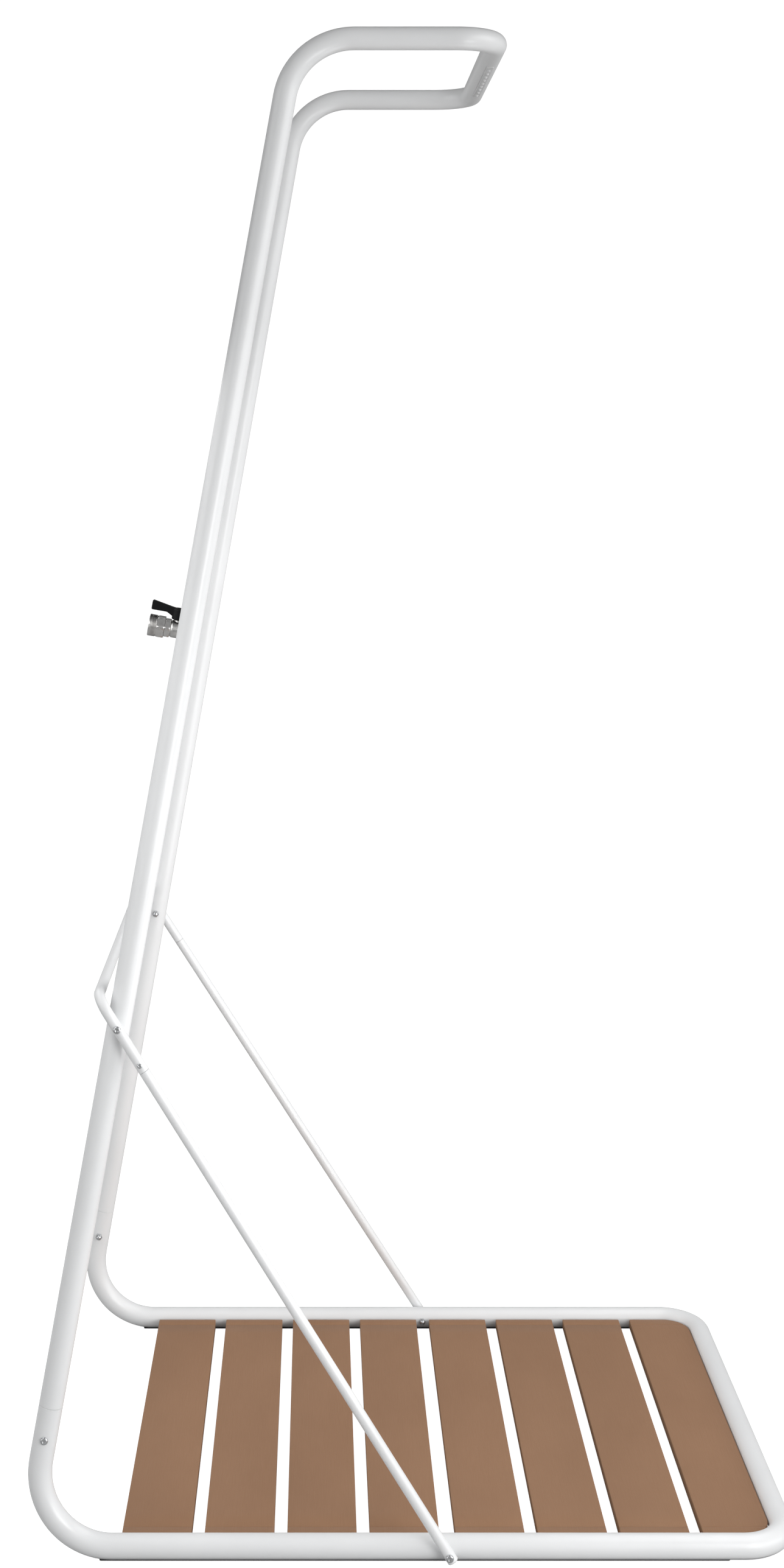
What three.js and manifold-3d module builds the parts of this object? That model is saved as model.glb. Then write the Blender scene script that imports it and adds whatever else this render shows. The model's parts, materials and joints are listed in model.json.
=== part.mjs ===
// Free-standing garden shower: a bent-tube frame that leans forward over a slatted standing
// platform, two thin stays with a yoke behind the uprights, and a quarter-turn water valve.
// Millimetres. +X is the front of the platform, +Y its left side, +Z up. The origin lies on the
// floor under the middle of the whole object.
import * as THREE from "three";
import { mergeVertices } from "three/addons/utils/BufferGeometryUtils.js";
import Module from "manifold-3d";

const wasm = await Module();
wasm.setup();

// ---------------------------------------------------------------- driving dimensions
const GAP = 0.3; // clearance between pieces that touch
const TUBE = { radius: 17.5, wall: 2, sides: 16 }; // main frame tube
const ROD = { radius: 8, wall: 1.5, sides: 12 }; // stay and yoke tube
const FLOOR_GAP = 1.2; // the floor strips hold the base tube this far off the floor
const BASE_Z = FLOOR_GAP + TUBE.radius;

// Centre lines of the frame. The rear corners are where upright and side bar would cross.
const BASE = { rearX: -561.6, frontX: 541.5, halfWidth: 400, rearBend: 105, frontBend: 65 };
const TOP = { rearX: -173.7, frontX: 129.1, halfWidth: 305.5, z: 2213.1, rearBend: 105, frontBend: 62 };
const BEND_STEP = THREE.MathUtils.degToRad(14);

// Heights on the uprights
const SEAM_Z = 219; // lower stub and upper frame meet here
const JOINT_BOLT_Z = 175;
const YOKE_BOLT_Z = 763;
const VALVE_Z = 1263;

const ROD_OFFSET = TUBE.radius + ROD.radius + 0.5; // rod centre line beside the tube's
const TUBE_DRILL = [-20, 20]; // a hole right through the main tube, along a bolt
const ROD_DRILL = [10, 40]; // a hole right through the rod beside it
const FOOT_X = 48.8; // where the stays are bolted to the side bars, in the middle slat gap
const STAY = { footEnd: 9, seam: 72, setScrew: 61, spigotHalf: 30 }; // lengths along the rod
const YOKE = { rise: 53, bend: 28 }; // legs run on past the bolt to the cross bar

const BOLT = { radius: 3, hole: 3.4, head: 5.6, headHeight: 3.3, socket: 1.9 };
const SET_SCREW = { radius: 2, hole: 2.4, tip: 1.5, head: 3.6, headHeight: 1.8, socket: 1.2 };
const CAP_NUT = { acrossCorners: 11.5, hexHeight: 5, height: 9.4, boreDepth: 7, dome: 4.5, tip: 2.6 };
const SPIGOT = { low: -76, high: 40, radius: 13.9, ring: 1.6, ringWidth: 3, ringsAt: [15, 25] };

const SLAT = { width: 101.2, gap: 19.2, middleGap: 23.2, firstX: -425.2, count: 8 };
const SLAT_BOX = { halfLength: 377, top: 24, thickness: 15, edge: 1.2, corner: 44 };
const TAB = { halfWidth: 20, inner: 352, outer: 394, thickness: 3 };
const SLAT_SCREW = { y: 365, radius: 2, hole: 2.5, head: 4.5, headHeight: 2.4, bite: 9 };
const STRIP = { halfSide: 455, halfFront: 320, halfWidth: 5, pin: 3.4, pinTop: 8.5 };
const PIN_SHARES = [-0.9, 0, 0.9]; // where a floor strip's pins sit along its half length

// Valve, measured along the flow from the upright's centre line and up from the flow axis
const VALVE = { stemAt: 50, ball: 10.2, bore: 6.5, hubBottom: 17.5, hubTop: 37.7, hubRadius: 14 };
const BODY = {
  // [radius, distance along the flow]
  outline: [[0, 18], [9.5, 18], [9.5, 36], [14.5, 36], [16, 42], [16, 60], [14.8, 64], [0, 64]],
  inletHex: [17, 30.4, 39], // each: corner radius or radius, then where it starts and ends
  outletHex: [18, 63, 73],
  bonnet: [9, 6, 16.9], // around the stem
  flowHole: [10, 66],
  stemHole: [4, 30],
};
const BOSS = { radius: 14, bore: 10, start: 8, end: 30 }; // welded socket for the valve
const STEM = { shaft: 4, shaftTop: 27, thread: 2.9, threadTop: 35.4, foot: 10.6 };
const BLADE = { halfLength: 3.4, halfWidth: 1.4, low: 8, high: 11.5 }; // the stem's key in the ball
const BALL_SLOT = { halfWidth: 1.7, floor: 7.6 };
const LEVER = { end: 102.4, bottom: 28.4, neckTop: 39.1, tipTop: 46, halfWidth: 8 };
const NUT = { acrossCorners: 11.6, low: 31.3, high: 35, hole: 3.4 };
const HOSE_NECK = 9.2; // the connector's neck inside the valve body
const HOSE = { start: 63, end: 102, collar: 19.6, collarAt: 80, chamfer: 1, thread: 13.2, threadDepth: 13 };
const HOSE_HEX = [21, 73.4, 87]; // corner radius, start, end

// Spray strip in the underside of the overhead front bar
const SPRAY = { halfLength: 150, halfWidth: 5.7, lip: 7.6, nozzles: 9, pitch: 32, low: -18.2, high: -11 };
const NOZZLE = { length: 3.3, tip: 1.7, root: 2.7, hole: 0.8 };

const SIDES = [["right", -1], ["left", 1]];
const X_AXIS = new THREE.Vector3(1, 0, 0);
const Z_AXIS = new THREE.Vector3(0, 0, 1);
const IN_PLACE = new THREE.Matrix4();

// ---------------------------------------------------------------- materials
const paint = (color, roughness, metalness) =>
  new THREE.MeshStandardMaterial({ color, roughness, metalness });
const WHITE_COAT = paint(0xe9e9e6, 0.42, 0.0);
const SLAT_BROWN = paint(0x96765c, 0.6, 0.0);
const STAINLESS = paint(0xb9bcbf, 0.3, 1.0);
const NICKEL = paint(0xa3a4a3, 0.28, 1.0);
const BLACK_PLASTIC = paint(0x151515, 0.5, 0.0);
const GREY_RUBBER = paint(0x55575a, 0.7, 0.0);
const ALUMINIUM = paint(0xc4c6c8, 0.4, 1.0);
const PALE_SILICONE = paint(0xcdcfd1, 0.6, 0.0);

// ---------------------------------------------------------------- solids and booleans
function solid(geometry, matrix = IN_PLACE) {
  const bare = geometry.clone().applyMatrix4(matrix);
  bare.deleteAttribute("normal");
  bare.deleteAttribute("uv");
  const merged = mergeVertices(bare, 1e-3);
  return new wasm.Manifold(
    new wasm.Mesh({
      numProp: 3,
      vertProperties: merged.attributes.position.array,
      triVerts: new Uint32Array(merged.index.array),
    }),
  );
}

function geometryOf(made) {
  const { vertProperties, triVerts } = made.getMesh();
  const shared = new THREE.BufferGeometry();
  shared.setAttribute("position", new THREE.BufferAttribute(vertProperties, 3));
  shared.setIndex(new THREE.BufferAttribute(triVerts, 1));
  const flat = shared.toNonIndexed();
  flat.computeVertexNormals();
  return flat;
}

function mesh(name, geometry, material) {
  const made = new THREE.Mesh(geometry, material);
  made.name = name;
  return made;
}

// A body turned about Z. The profile runs upwards from the axis and back to it: [radius, z].
function turned(profile, sides = 16) {
  const points = profile.map(([radius, z]) => new THREE.Vector2(radius, z));
  return new THREE.LatheGeometry(points, sides).rotateX(Math.PI / 2);
}

// A round or hexagonal bar along Z between two heights
function bar(radius, low, high, sides = 16) {
  const made = new THREE.CylinderGeometry(radius, radius, high - low, sides);
  return made.rotateX(Math.PI / 2).translate(0, 0, (low + high) / 2);
}

function block(x, y, z) {
  const made = new THREE.BoxGeometry(x[1] - x[0], y[1] - y[0], z[1] - z[0]);
  return made.translate((x[0] + x[1]) / 2, (y[0] + y[1]) / 2, (z[0] + z[1]) / 2);
}

// The matrix that stands a piece's own Z along one direction and its X towards another
function placement(origin, zDirection, xDirection) {
  const z = zDirection.clone().normalize();
  const x = xDirection.clone().addScaledVector(z, -xDirection.dot(z)).normalize();
  const y = new THREE.Vector3().crossVectors(z, x);
  return new THREE.Matrix4().makeBasis(x, y, z).setPosition(origin);
}

function groupAt(matrix, ...members) {
  const group = new THREE.Group();
  group.applyMatrix4(matrix);
  return group.add(...members);
}

// ---------------------------------------------------------------- bent tubes
// Straight runs between corners, each corner rounded by an arc. The curve's parameter steps
// from station to station: the ends of each run, and every BEND_STEP of an arc.
class BentPath extends THREE.Curve {
  constructor(corners, bends) {
    super();
    this.stations = [];
    this.tangents = [];
    const last = corners.length - 1;
    const heading = (i) => corners[i + 1].clone().sub(corners[i]).normalize();
    this.addStation(corners[0], heading(0));
    for (let i = 1; i < last; i += 1) {
      this.addBend(corners[i], heading(i - 1), heading(i), bends[i - 1]);
    }
    this.addStation(corners[last], heading(last - 1));
  }

  addStation(point, tangent) {
    this.stations.push(point.clone());
    this.tangents.push(tangent.clone());
  }

  addBend(corner, coming, going, radius) {
    const turn = coming.angleTo(going);
    const start = corner.clone().addScaledVector(coming, -radius * Math.tan(turn / 2));
    const inward = going.clone().addScaledVector(coming, -going.dot(coming)).normalize();
    const steps = Math.ceil(turn / BEND_STEP);
    for (let i = 0; i <= steps; i += 1) {
      const angle = (turn * i) / steps;
      const point = start.clone().addScaledVector(coming, radius * Math.sin(angle));
      point.addScaledVector(inward, radius * (1 - Math.cos(angle)));
      const tangent = coming.clone().multiplyScalar(Math.cos(angle));
      this.addStation(point, tangent.addScaledVector(inward, Math.sin(angle)));
    }
  }

  nearest(list, parameter) {
    return list[Math.round(parameter * (list.length - 1))];
  }

  getPointAt(parameter, target = new THREE.Vector3()) {
    return target.copy(this.nearest(this.stations, parameter));
  }

  getTangentAt(parameter, target = new THREE.Vector3()) {
    return target.copy(this.nearest(this.tangents, parameter));
  }
}

function swept(path, radius, sides) {
  const ring = Array.from({ length: sides }, (_, i) => {
    const angle = (2 * Math.PI * i) / sides;
    return new THREE.Vector2(radius * Math.cos(angle), radius * Math.sin(angle));
  });
  const steps = path.stations.length - 1;
  return new THREE.ExtrudeGeometry(new THREE.Shape(ring), { steps, extrudePath: path });
}

// A hollow tube along a path: added pieces are welded on before the bore is cleared
function tube(path, size, welded = []) {
  const core = solid(swept(path, size.radius, size.sides));
  const whole = welded.reduce((sum, piece) => sum.add(piece), core);
  return whole.subtract(solid(swept(longer(path), size.radius - size.wall, size.sides / 2)));
}

// The same path, run on 1 mm past both ends, so that a bore cut along it is open
function longer(path) {
  const copy = Object.assign(Object.create(BentPath.prototype), path);
  copy.stations = path.stations.map((station) => station.clone());
  copy.stations[0].addScaledVector(path.tangents[0], -1);
  copy.stations.at(-1).addScaledVector(path.tangents.at(-1), 1);
  return copy;
}

const drill = (made, matrix, radius, low, high, sides = 10) =>
  made.subtract(solid(bar(radius, low, high, sides), matrix));

// ---------------------------------------------------------------- the two uprights
function uprightOn(side) {
  const foot = new THREE.Vector3(BASE.rearX, side * BASE.halfWidth, BASE_Z);
  const head = new THREE.Vector3(TOP.rearX, side * TOP.halfWidth, TOP.z);
  const along = head.clone().sub(foot).normalize();
  const outward = new THREE.Vector3(0, side, 0);
  outward.addScaledVector(along, -outward.dot(along)).normalize();
  const atHeight = (z) => foot.clone().addScaledVector(along, (z - BASE_Z) / along.z);
  return { side, foot, head, along, outward, atHeight };
}

const UPRIGHTS = SIDES.map(([, side]) => uprightOn(side));
const [RIGHT, LEFT] = UPRIGHTS;

const jointFrame = (upright) =>
  placement(upright.atHeight(JOINT_BOLT_Z), upright.outward, upright.along);
const spigotFrame = (upright) =>
  placement(upright.atHeight(SEAM_Z), upright.along, upright.outward);
const yokeBoltFrame = (upright) =>
  placement(upright.atHeight(YOKE_BOLT_Z), upright.outward, upright.along);
const footBoltFrame = ({ side }) =>
  placement(new THREE.Vector3(FOOT_X, side * BASE.halfWidth, BASE_Z), new THREE.Vector3(0, side, 0), Z_AXIS);

// The stay's line on one side: from the foot bolt up to the yoke bolt
function stayLine(upright) {
  const bolt = upright.atHeight(YOKE_BOLT_Z).addScaledVector(upright.outward, ROD_OFFSET);
  const foot = new THREE.Vector3(FOOT_X, upright.side * (BASE.halfWidth + ROD_OFFSET), BASE_Z);
  const along = bolt.clone().sub(foot).normalize();
  const fromBolt = (distance) => bolt.clone().addScaledVector(along, distance);
  return { bolt, foot, along, fromBolt };
}

// Flow runs straight back out of the left upright, square to it, and the stem stands along it
function valveFrame({ along, atHeight }) {
  const back = X_AXIS.clone().negate();
  back.addScaledVector(along, -back.dot(along));
  return placement(atHeight(VALVE_Z), back, along);
}

const VALVE_FRAME = valveFrame(LEFT);

// ---------------------------------------------------------------- slat positions
function slatCentre(index) {
  const extra = index >= SLAT.count / 2 ? SLAT.middleGap - SLAT.gap : 0;
  return SLAT.firstX + SLAT.width / 2 + index * (SLAT.width + SLAT.gap) + extra;
}

const SLATS = Array.from({ length: SLAT.count }, (_, index) => slatCentre(index));
const SLAT_BOTTOM = SLAT_BOX.top - SLAT_BOX.thickness;
const TAB_TOP = SLAT_BOTTOM - GAP;
const TAB_BOTTOM = TAB_TOP - TAB.thickness;

// ---------------------------------------------------------------- floor strips
// Each strip lies under one straight run of the base tube, along its own X.
const STRIPS = [
  ...SIDES.map(([sideName, side]) => ({
    name: `floor_strip_${sideName}`,
    halfLength: STRIP.halfSide,
    matrix: placement(new THREE.Vector3(0, side * BASE.halfWidth, 0), Z_AXIS, X_AXIS),
  })),
  {
    name: "floor_strip_front",
    halfLength: STRIP.halfFront,
    matrix: placement(new THREE.Vector3(BASE.frontX, 0, 0), Z_AXIS, new THREE.Vector3(0, 1, 0)),
  },
];

const pinSpots = (halfLength) => PIN_SHARES.map((share) => share * halfLength);

// A rubber strip with a saddle for the tube and three pins that plug into the tube's underside
function floorStrip({ name, halfLength, matrix }) {
  const reach = halfLength + 1;
  const saddle = bar(TUBE.radius + GAP, -reach, reach, 48).rotateY(Math.PI / 2).translate(0, 0, BASE_Z);
  const across = [-STRIP.halfWidth, STRIP.halfWidth];
  const height = BASE_Z - TUBE.radius / 2; // the saddle trims it
  let made = solid(block([-halfLength, halfLength], across, [0, height])).subtract(solid(saddle));
  pinSpots(halfLength).forEach((x) => {
    made = made.add(solid(bar(STRIP.pin, FLOOR_GAP / 4, STRIP.pinTop, 10).translate(x, 0, 0)));
  });
  return groupAt(matrix, mesh(name, geometryOf(made), GREY_RUBBER));
}

// ---------------------------------------------------------------- main frame
function supportTabs() {
  return SLATS.flatMap((x) =>
    SIDES.map(([, side]) => {
      const y = [side * TAB.inner, side * TAB.outer].sort((a, b) => a - b);
      return solid(block([x - TAB.halfWidth, x + TAB.halfWidth], y, [TAB_BOTTOM, TAB_TOP]));
    }),
  );
}

function baseFrame() {
  const corners = [
    RIGHT.atHeight(SEAM_Z - GAP / 2),
    RIGHT.foot,
    new THREE.Vector3(BASE.frontX, -BASE.halfWidth, BASE_Z),
    new THREE.Vector3(BASE.frontX, BASE.halfWidth, BASE_Z),
    LEFT.foot,
    LEFT.atHeight(SEAM_Z - GAP / 2),
  ];
  const bends = [BASE.rearBend, BASE.frontBend, BASE.frontBend, BASE.rearBend];
  let made = tube(new BentPath(corners, bends), TUBE, supportTabs());
  UPRIGHTS.forEach((upright) => {
    made = drill(made, jointFrame(upright), BOLT.hole, ...TUBE_DRILL);
    made = drill(made, footBoltFrame(upright), BOLT.hole, ...TUBE_DRILL);
    SLATS.forEach((x) => {
      const spot = new THREE.Matrix4().setPosition(x, upright.side * SLAT_SCREW.y, 0);
      made = drill(made, spot, SLAT_SCREW.hole, TAB_BOTTOM - 1, TAB_TOP + 1, 6);
    });
  });
  STRIPS.forEach(({ halfLength, matrix }) => {
    pinSpots(halfLength).forEach((x) => {
      const spot = matrix.clone().multiply(new THREE.Matrix4().setPosition(x, 0, 0));
      made = drill(made, spot, STRIP.pin + 0.5, 0, STRIP.pinTop + 1);
    });
  });
  return mesh("base_frame", geometryOf(made), WHITE_COAT);
}

function upperFrame() {
  const corners = [
    RIGHT.atHeight(SEAM_Z + GAP / 2),
    RIGHT.head,
    new THREE.Vector3(TOP.frontX, -TOP.halfWidth, TOP.z),
    new THREE.Vector3(TOP.frontX, TOP.halfWidth, TOP.z),
    LEFT.head,
    LEFT.atHeight(SEAM_Z + GAP / 2),
  ];
  const bends = [TOP.rearBend, TOP.frontBend, TOP.frontBend, TOP.rearBend];
  const boss = solid(bar(BOSS.radius, BOSS.start, BOSS.end), VALVE_FRAME);
  let made = tube(new BentPath(corners, bends), TUBE, [boss]);
  UPRIGHTS.forEach((upright) => {
    made = drill(made, yokeBoltFrame(upright), BOLT.hole, ...TUBE_DRILL);
  });
  made = drill(made, VALVE_FRAME, BOSS.bore, BOSS.start, BOSS.end + 1, 16);
  const slotX = [-SPRAY.halfWidth - GAP, SPRAY.halfWidth + GAP];
  const slotY = [-SPRAY.halfLength - GAP, SPRAY.halfLength + GAP];
  const slot = solid(block(slotX, slotY, [-TUBE.radius - 1, SPRAY.high]).translate(TOP.frontX, 0, TOP.z));
  return mesh("upper_frame", geometryOf(made.subtract(slot)), WHITE_COAT);
}

// A plug that lines up stub and upright, with two O-ring grooves that seal the water above it
function jointSpigot(name, upright) {
  const { low, high, radius, ring, ringWidth, ringsAt } = SPIGOT;
  const grooves = ringsAt.flatMap((z) => [[radius, z], [radius - ring, z],
    [radius - ring, z + ringWidth], [radius, z + ringWidth]]);
  const profile = [[0, low], [radius - 1.5, low], [radius, low + 2], ...grooves, [radius, high], [0, high]];
  const made = solid(turned(profile, 12), spigotFrame(upright));
  return mesh(name, geometryOf(drill(made, jointFrame(upright), BOLT.hole, ...TUBE_DRILL)), ALUMINIUM);
}

// ---------------------------------------------------------------- bolts and nuts
// Button-head bolt on its own axis: the head's underside is at `under`, the tip at `tip`
function buttonBolt(under, tip, size = BOLT) {
  const top = under + size.headHeight;
  const rim = under + 0.4 * size.headHeight;
  const socketFloor = top - 0.5 * size.headHeight;
  const profile = [[0, tip], [size.radius, tip], [size.radius, under], [size.head, under], [size.head, rim],
    [0.6 * size.head, top], [size.socket, top], [size.socket, socketFloor], [0, socketFloor]];
  return turned(profile, 10);
}

// Domed nut whose flat side faces +Z at `face`
function capNut(face) {
  const hexFoot = face - CAP_NUT.hexHeight;
  const tip = face - CAP_NUT.height;
  const hex = solid(bar(CAP_NUT.acrossCorners / 2, hexFoot, face, 6));
  const dome = turned([[0, tip], [CAP_NUT.tip, tip + 0.6], [CAP_NUT.dome, hexFoot - 1.5],
    [CAP_NUT.dome, hexFoot + 1], [0, hexFoot + 1]], 10);
  const bore = solid(bar(BOLT.hole, face - CAP_NUT.boreDepth, face + 1, 8));
  return geometryOf(hex.add(solid(dome)).subtract(bore));
}

function boltedStack(label, sideName, matrix, outside) {
  const face = -(TUBE.radius + GAP);
  const bolt = buttonBolt(outside + GAP, face - CAP_NUT.boreDepth + 1);
  return groupAt(
    matrix,
    mesh(`${label}_bolt_${sideName}`, bolt, STAINLESS),
    mesh(`${label}_cap_nut_${sideName}`, capNut(face), STAINLESS),
  );
}

// ---------------------------------------------------------------- stays and yoke
function stay(name, upright) {
  const line = stayLine(upright);
  const end = line.foot.clone().addScaledVector(line.along, -STAY.footEnd);
  const path = new BentPath([end, line.fromBolt(-STAY.seam - GAP / 2)], []);
  let made = tube(path, ROD);
  made = drill(made, footBoltFrame(upright), BOLT.hole, ...ROD_DRILL);
  return mesh(name, geometryOf(made), WHITE_COAT);
}

function stayYoke() {
  const [right, left] = UPRIGHTS.map(stayLine);
  const corners = [
    right.fromBolt(-STAY.seam + GAP / 2),
    right.fromBolt(YOKE.rise),
    left.fromBolt(YOKE.rise),
    left.fromBolt(-STAY.seam + GAP / 2),
  ];
  let made = tube(new BentPath(corners, [YOKE.bend, YOKE.bend]), ROD);
  UPRIGHTS.forEach((upright) => {
    made = drill(made, yokeBoltFrame(upright), BOLT.hole, ...ROD_DRILL);
    made = drill(made, setScrewFrame(upright), SET_SCREW.hole, 3, ROD.radius + 2, 8);
  });
  return mesh("stay_yoke", geometryOf(made), WHITE_COAT);
}

// Square to the rod and facing outwards, on the rod's centre line
function setScrewFrame(upright) {
  const line = stayLine(upright);
  const outward = upright.outward.clone();
  outward.addScaledVector(line.along, -outward.dot(line.along));
  return placement(line.fromBolt(-STAY.setScrew), outward, line.along);
}

function staySpigot(name, upright) {
  const line = stayLine(upright);
  const half = STAY.spigotHalf;
  const radius = ROD.radius - ROD.wall - 1.1;
  const profile = [[0, -half], [radius - 0.8, -half], [radius, 1 - half], [radius, half - 1],
    [radius - 0.8, half], [0, half]];
  let made = solid(turned(profile, 10), placement(line.fromBolt(-STAY.seam), line.along, Z_AXIS));
  made = drill(made, setScrewFrame(upright), SET_SCREW.hole, SET_SCREW.tip - 0.5, ROD.radius + 2, 8);
  return mesh(name, geometryOf(made), ALUMINIUM);
}

function setScrew(name, upright) {
  const made = buttonBolt(ROD.radius + 0.1, SET_SCREW.tip, SET_SCREW);
  return groupAt(setScrewFrame(upright), mesh(name, made, STAINLESS));
}

// ---------------------------------------------------------------- platform
function roundedOutline(halfX, halfY, frontCorner) {
  const shape = new THREE.Shape();
  shape.moveTo(-halfX, -halfY);
  shape.lineTo(halfX - frontCorner, -halfY);
  if (frontCorner) shape.absarc(halfX - frontCorner, -halfY + frontCorner, frontCorner, -Math.PI / 2, 0);
  shape.lineTo(halfX, halfY - frontCorner);
  if (frontCorner) shape.absarc(halfX - frontCorner, halfY - frontCorner, frontCorner, 0, Math.PI / 2);
  shape.lineTo(-halfX, halfY);
  return shape;
}

function slat(index) {
  const corner = index === SLAT.count - 1 ? SLAT_BOX.corner : 0;
  const edge = SLAT_BOX.edge;
  const plan = new THREE.ExtrudeGeometry(roundedOutline(SLAT.width / 2, SLAT_BOX.halfLength, corner), {
    depth: SLAT_BOX.thickness - 2 * edge,
    bevelThickness: edge,
    bevelSize: edge,
    bevelOffset: -edge,
    bevelSegments: 1,
    curveSegments: 6,
  });
  let made = solid(plan.translate(0, 0, edge));
  SIDES.forEach(([, side]) => {
    const spot = new THREE.Matrix4().setPosition(0, side * SLAT_SCREW.y, 0);
    made = drill(made, spot, SLAT_SCREW.hole, -1, SLAT_SCREW.bite + 1, 6);
  });
  const piece = mesh(`slat_${index + 1}`, geometryOf(made), SLAT_BROWN);
  piece.position.set(SLATS[index], 0, SLAT_BOTTOM);
  return piece;
}

function slatScrew(index, sideName, side) {
  const under = TAB_BOTTOM - GAP;
  const low = under - SLAT_SCREW.headHeight;
  const tip = SLAT_BOTTOM + SLAT_SCREW.bite;
  const profile = [[0, low], [SLAT_SCREW.head, low], [SLAT_SCREW.head, under],
    [SLAT_SCREW.radius, under], [SLAT_SCREW.radius, tip], [0, tip]];
  const piece = mesh(`slat_screw_${index + 1}_${sideName}`, turned(profile, 8), STAINLESS);
  piece.position.set(SLATS[index], side * SLAT_SCREW.y, 0);
  return piece;
}

// ---------------------------------------------------------------- water valve
// In the valve's own frame Z is the flow and X the stem.
const STEM_FRAME = placement(new THREE.Vector3(0, 0, VALVE.stemAt), X_AXIS, Z_AXIS);

function valveBody() {
  const inletHex = solid(bar(...BODY.inletHex, 6));
  const outletHex = solid(bar(...BODY.outletHex, 6));
  const bonnet = solid(bar(...BODY.bonnet, 12), STEM_FRAME);
  const cavity = new THREE.SphereGeometry(VALVE.ball + 0.5, 14, 8).translate(0, 0, VALVE.stemAt);
  let made = solid(turned(BODY.outline, 16)).add(inletHex).add(outletHex).add(bonnet);
  made = made.subtract(solid(cavity));
  made = drill(made, IN_PLACE, VALVE.bore, ...BODY.flowHole, 12);
  made = drill(made, IN_PLACE, HOSE_NECK + 0.5, HOSE.start - 0.5, HOSE.collarAt, 16);
  made = drill(made, STEM_FRAME, STEM.shaft + 0.5, ...BODY.stemHole);
  return mesh("valve_body", geometryOf(made), NICKEL);
}

function valveBall() {
  const sphere = new THREE.SphereGeometry(VALVE.ball - 0.3, 14, 8).translate(0, 0, VALVE.stemAt);
  const { halfWidth, floor } = BALL_SLOT;
  const beyond = VALVE.ball + 1.8; // outside the ball
  const along = [VALVE.stemAt - beyond, VALVE.stemAt + beyond];
  const slot = block([floor, beyond], [-halfWidth, halfWidth], along);
  const made = drill(solid(sphere), IN_PLACE, VALVE.bore - 0.2, ...along, 12);
  return mesh("valve_ball", geometryOf(made.subtract(solid(slot))), NICKEL);
}

function valveStem() {
  const shaft = turned([[0, STEM.foot], [STEM.shaft, STEM.foot], [STEM.shaft, STEM.shaftTop],
    [STEM.thread, STEM.shaftTop], [STEM.thread, STEM.threadTop], [0, STEM.threadTop]], 10);
  const { halfLength, halfWidth, low, high } = BLADE;
  const blade = block([-halfLength, halfLength], [-halfWidth, halfWidth], [low, high]);
  const made = solid(shaft, STEM_FRAME).add(solid(blade, STEM_FRAME));
  return mesh("valve_stem", geometryOf(made), STAINLESS);
}

// Side outline of the lever's arm: x runs along the flow, y up from the flow axis
function leverArm() {
  const arm = new THREE.Shape();
  const tip = 2.5;
  arm.moveTo(VALVE.stemAt + 6, LEVER.bottom - 6.9);
  arm.lineTo(VALVE.stemAt + 14.5, LEVER.bottom - 5.2);
  arm.lineTo(VALVE.stemAt + 24, LEVER.bottom);
  arm.lineTo(LEVER.end - tip, LEVER.bottom);
  arm.quadraticCurveTo(LEVER.end, LEVER.bottom, LEVER.end, LEVER.bottom + tip);
  arm.lineTo(LEVER.end, LEVER.tipTop - tip);
  arm.quadraticCurveTo(LEVER.end, LEVER.tipTop, LEVER.end - tip, LEVER.tipTop - 0.4);
  arm.lineTo(VALVE.stemAt + 16, LEVER.neckTop);
  arm.lineTo(VALVE.stemAt + 6, VALVE.hubTop);
  const edge = 1.5;
  const made = new THREE.ExtrudeGeometry(arm, {
    depth: 2 * (LEVER.halfWidth - edge),
    bevelThickness: edge,
    bevelSize: edge,
    bevelOffset: -edge,
    bevelSegments: 1,
    curveSegments: 3,
  });
  const lay = new THREE.Matrix4().makeBasis(Z_AXIS, X_AXIS, new THREE.Vector3(0, 1, 0));
  return made.translate(0, 0, -(LEVER.halfWidth - edge)).applyMatrix4(lay);
}

function valveLever() {
  const { hubBottom, hubTop, hubRadius } = VALVE;
  const hub = turned([[0, hubBottom], [hubRadius - 1.5, hubBottom], [hubRadius, hubBottom + 1.5],
    [hubRadius, hubTop - 2], [hubRadius - 2, hubTop], [0, hubTop]], 16);
  let made = solid(hub, STEM_FRAME).add(solid(leverArm()));
  made = drill(made, STEM_FRAME, STEM.shaft + 0.5, hubBottom - 5, STEM.shaftTop + 0.4);
  made = drill(made, STEM_FRAME, NUT.hole, hubBottom - 5, hubTop + 5);
  made = drill(made, STEM_FRAME, NUT.acrossCorners / 2 + 1, NUT.low - GAP, hubTop + 10, 12);
  return mesh("valve_lever", geometryOf(made), BLACK_PLASTIC);
}

function leverNut() {
  const nut = solid(bar(NUT.acrossCorners / 2, NUT.low, NUT.high, 6), STEM_FRAME);
  const made = drill(nut, STEM_FRAME, NUT.hole, NUT.low - 1, NUT.high + 1);
  return mesh("lever_nut", geometryOf(made), STAINLESS);
}

function hoseConnector() {
  const { start, end, collar, collarAt, chamfer, thread, threadDepth } = HOSE;
  const profile = [[0, start], [HOSE_NECK, start], [HOSE_NECK, collarAt], [collar, collarAt],
    [collar, end - chamfer], [collar - chamfer, end], [0, end]];
  const hex = solid(bar(...HOSE_HEX, 6));
  let made = solid(turned(profile, 24)).add(hex);
  made = drill(made, IN_PLACE, VALVE.bore, start - 3, end + 1, 12);
  made = drill(made, IN_PLACE, thread, end - threadDepth, end + 1, 16);
  return mesh("hose_connector", geometryOf(made), NICKEL);
}

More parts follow.
